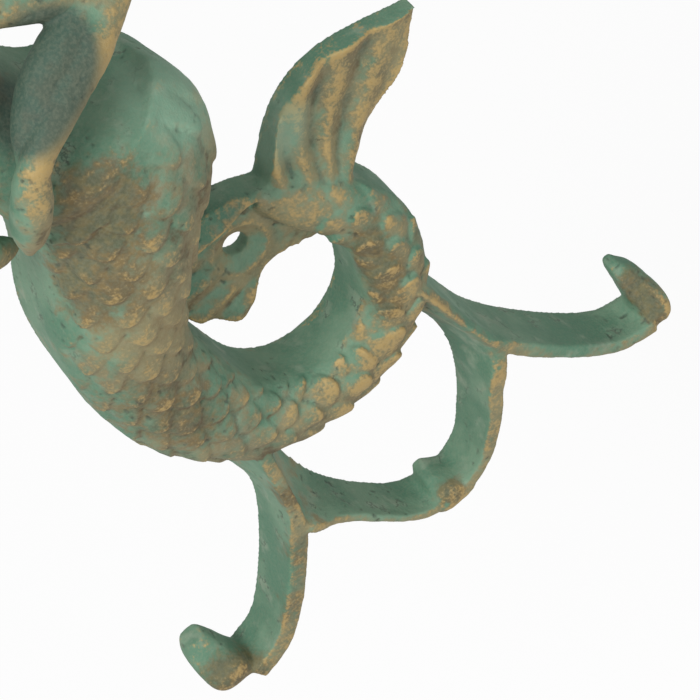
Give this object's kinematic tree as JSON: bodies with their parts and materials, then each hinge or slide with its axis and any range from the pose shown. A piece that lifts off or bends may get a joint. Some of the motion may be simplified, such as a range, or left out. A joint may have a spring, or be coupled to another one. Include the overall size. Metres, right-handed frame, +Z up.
{
  "type": "key hook rack",
  "caption": "Cast wall key hook shaped as a mermaid whose scaled tail curls into a ring above fanned hooks, with a flat back and countersunk screw holes.",
  "frame": {"origin": "the axis of the lower screw hole where it meets the wall plane", "axes": "+X to the viewer's right, +Y into the wall, +Z up"},
  "size_m": [0.0749, 0.02, 0.1497],
  "materials": {
    "verdigris_casting": "verdigris green over rough cast metal, rubbed back to bronze on the raised parts"
  },
  "bodies": {
    "root": {"mermaid_hook_casting": "verdigris_casting"}
  },
  "joints": []
}
